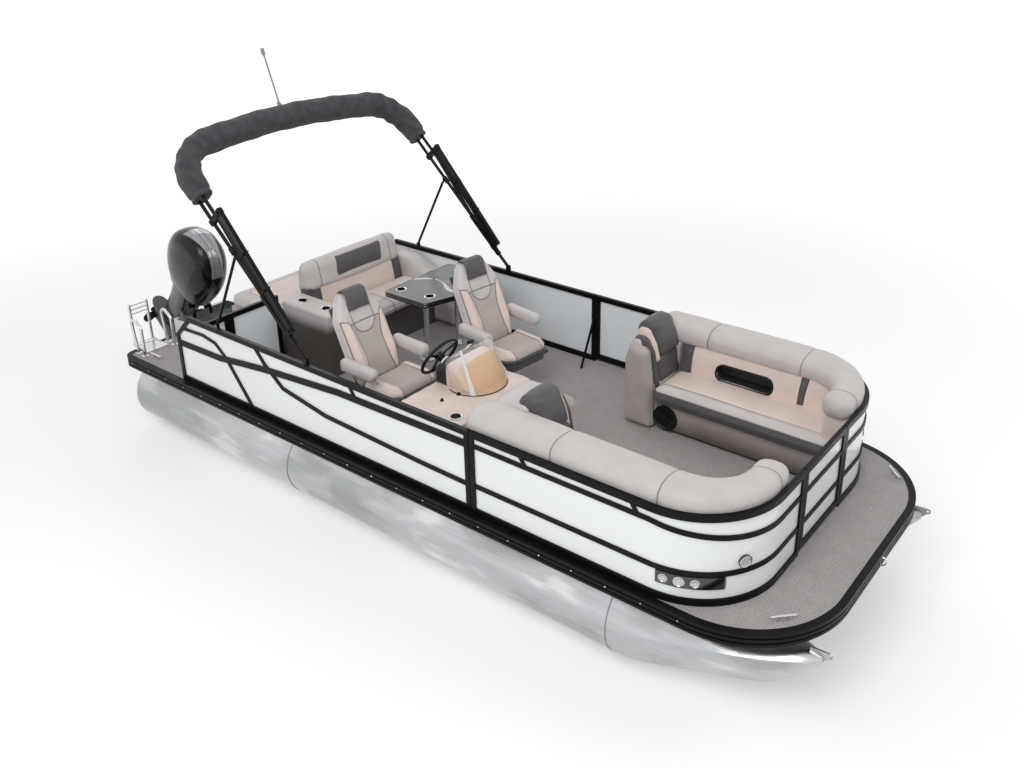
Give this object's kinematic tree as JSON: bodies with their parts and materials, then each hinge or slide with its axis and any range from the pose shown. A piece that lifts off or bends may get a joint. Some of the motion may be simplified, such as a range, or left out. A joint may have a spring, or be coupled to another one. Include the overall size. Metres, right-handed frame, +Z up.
{
  "type": "pontoon boat",
  "caption": "Pontoon boat: fenced deck on aluminium tubes with lounges, helm console, swivel seats, table, folded sun top in its boot, ladder and tilted outboard motor.",
  "frame": {"origin": "middle of the boat's length and width, on the floor under its tubes", "axes": "+X towards the bow, +Y to port, +Z up"},
  "size_m": [8.4512, 2.59, 3.5403],
  "materials": {
    "hull_aluminium": "mill-finish aluminium with faint rolling lines",
    "deck_vinyl": "woven vinyl flooring, fine grain",
    "rub_rail_aluminium": "satin anodised extrusion with dark insert",
    "fence_black": "satin black powder coat",
    "panel_grey": "smooth pale grey sheet",
    "vinyl_greige": "fine-grained marine vinyl",
    "vinyl_blush": "fine-grained marine vinyl",
    "vinyl_taupe": "fine-grained marine vinyl",
    "vinyl_charcoal": "fine-grained marine vinyl",
    "moulding_greige": "satin moulded plastic",
    "moulding_dark": "satin moulded plastic",
    "table_grey": "polished laminate",
    "screen_smoke": "smoked acrylic",
    "lamp_clear": "clear lens",
    "stainless": "polished stainless steel",
    "tube_black": "satin black tube",
    "pole_grey": "satin grey pole",
    "canvas_charcoal": "woven acrylic canvas",
    "motor_black": "gloss black paint",
    "motor_grey": "dark grey metallic paint",
    "motor_mechanics": "satin black casting",
    "engine_iron": "plain casting"
  },
  "bodies": {
    "root": {"pontoon_starboard": "hull_aluminium", "pontoon_port": "hull_aluminium", "cross_members": "hull_aluminium", "motor_pod": "hull_aluminium", "deck": "deck_vinyl", "rub_rail": "rub_rail_aluminium", "fence_frame_starboard": "fence_black", "fence_frame_port": "fence_black", "fence_frame_rear": "fence_black", "fence_panels": "panel_grey", "docking_lights": "lamp_clear", "lounge_base_starboard": "moulding_dark", "lounge_seat_starboard": "vinyl_greige", "lounge_bolster_starboard": "vinyl_greige", "lounge_backrest_starboard": "vinyl_greige", "lounge_base_port": "moulding_dark", "lounge_seat_port": "vinyl_greige", "lounge_bolster_port": "vinyl_greige", "lounge_backrest_port": "vinyl_greige", "bench_base": "moulding_dark", "bench_seat": "vinyl_greige", "bench_backrest": "vinyl_greige", "aft_lounge_base": "moulding_dark", "aft_lounge_cushion": "vinyl_blush", "side_coaming": "moulding_greige", "drinks_stand": "moulding_greige", "table_top": "table_grey", "table_legs": "stainless", "helm_console": "moulding_dark", "windscreen": "screen_smoke", "seat_pedestals": "stainless", "ladder_handrails": "stainless", "engine_clamp_bracket": "motor_mechanics", "deck_fittings": "stainless"},
    "front_gate": {"front_gate_frame": "fence_black", "front_gate_panel": "panel_grey"},
    "side_gate": {"side_gate_frame": "fence_black", "side_gate_panel": "panel_grey"},
    "rear_gate": {"rear_gate_frame": "fence_black", "rear_gate_panel": "panel_grey"},
    "steering_wheel": {"steering_wheel": "moulding_dark"},
    "helm_seat": {"helm_seat_shell": "moulding_greige", "helm_seat_cushions": "vinyl_greige"},
    "companion_seat": {"companion_seat_shell": "moulding_greige", "companion_seat_cushions": "vinyl_greige"},
    "ladder": {"ladder_steps": "stainless"},
    "folded_top": {"top_frame": "tube_black", "top_boot": "canvas_charcoal", "stern_light": "pole_grey"},
    "strut_starboard": {"top_strut_starboard": "tube_black"},
    "strut_port": {"top_strut_port": "tube_black"},
    "motor_swivel": {"engine_swivel_bracket": "motor_mechanics"},
    "motor": {"engine_leg": "motor_grey", "engine_cowl": "motor_black", "engine_block": "engine_iron"},
    "propeller": {"propeller": "motor_mechanics"}
  },
  "joints": [
    {"name": "front_gate_hinge", "type": "hinge", "parent": "root", "child": "front_gate", "pos_m": [3.68974, 0.343, 1.0995], "axis": [0, 0, 1], "range_deg": [-90, 0]},
    {"name": "side_gate_hinge", "type": "hinge", "parent": "root", "child": "side_gate", "pos_m": [1.76374, 1.2024, 1.0995], "axis": [0, 0, 1], "range_deg": [0, 90]},
    {"name": "rear_gate_hinge", "type": "hinge", "parent": "root", "child": "rear_gate", "pos_m": [-1.23926, -0.996, 1.0995], "axis": [0, 0, 1], "range_deg": [-90, 0]},
    {"name": "steering_wheel_turn", "type": "hinge", "parent": "root", "child": "steering_wheel", "pos_m": [0.87074, -0.63, 1.5345], "axis": [0.866, 0, -0.5], "range_deg": [-540, 540]},
    {"name": "helm_seat_swivel", "type": "hinge", "parent": "root", "child": "helm_seat", "pos_m": [0.36574, -0.69, 1.0995], "axis": [0, 0, 1], "continuous": true},
    {"name": "companion_seat_swivel", "type": "hinge", "parent": "root", "child": "companion_seat", "pos_m": [0.69574, 0.33, 1.0995], "axis": [0, 0, 1], "continuous": true},
    {"name": "ladder_hinge", "type": "hinge", "parent": "root", "child": "ladder", "pos_m": [-2.64626, -1.025, 0.8248], "axis": [0, 1, 0], "range_deg": [-175, 0]},
    {"name": "top_pivot", "type": "hinge", "parent": "root", "child": "folded_top", "pos_m": [0.02974, 0, 1.4895], "axis": [0, 1, 0], "range_deg": [-38, 0]},
    {"name": "strut_starboard_pivot", "type": "hinge", "parent": "root", "child": "strut_starboard", "pos_m": [-1.11726, -1.1874, 1.4895], "axis": [0, 1, 0], "range_deg": [0, 61.7]},
    {"name": "strut_port_pivot", "type": "hinge", "parent": "root", "child": "strut_port", "pos_m": [-1.11726, 1.1874, 1.4895], "axis": [0, 1, 0], "range_deg": [0, 61.7]},
    {"name": "motor_tilt", "type": "hinge", "parent": "root", "child": "motor_swivel", "pos_m": [-3.28426, 0, 0.6995], "axis": [0, 1, 0], "range_deg": [-42, 24]},
    {"name": "motor_steer", "type": "hinge", "parent": "motor_swivel", "child": "motor", "pos_m": [-3.43645, 0, 0.6915], "axis": [0.6157, 0, 0.788], "range_deg": [-30, 30]},
    {"name": "propeller_spin", "type": "hinge", "parent": "motor", "child": "propeller", "pos_m": [-4.14375, 0, 0.36849], "axis": [0.788, 0, -0.6157], "continuous": true}
  ],
  "couplings": [
    {"joint": "strut_starboard_pivot", "follows": "top_pivot", "ratio": -1.62},
    {"joint": "strut_port_pivot", "follows": "top_pivot", "ratio": -1.62},
    {"joint": "steering_wheel_turn", "follows": "motor_steer", "ratio": 18}
  ]
}
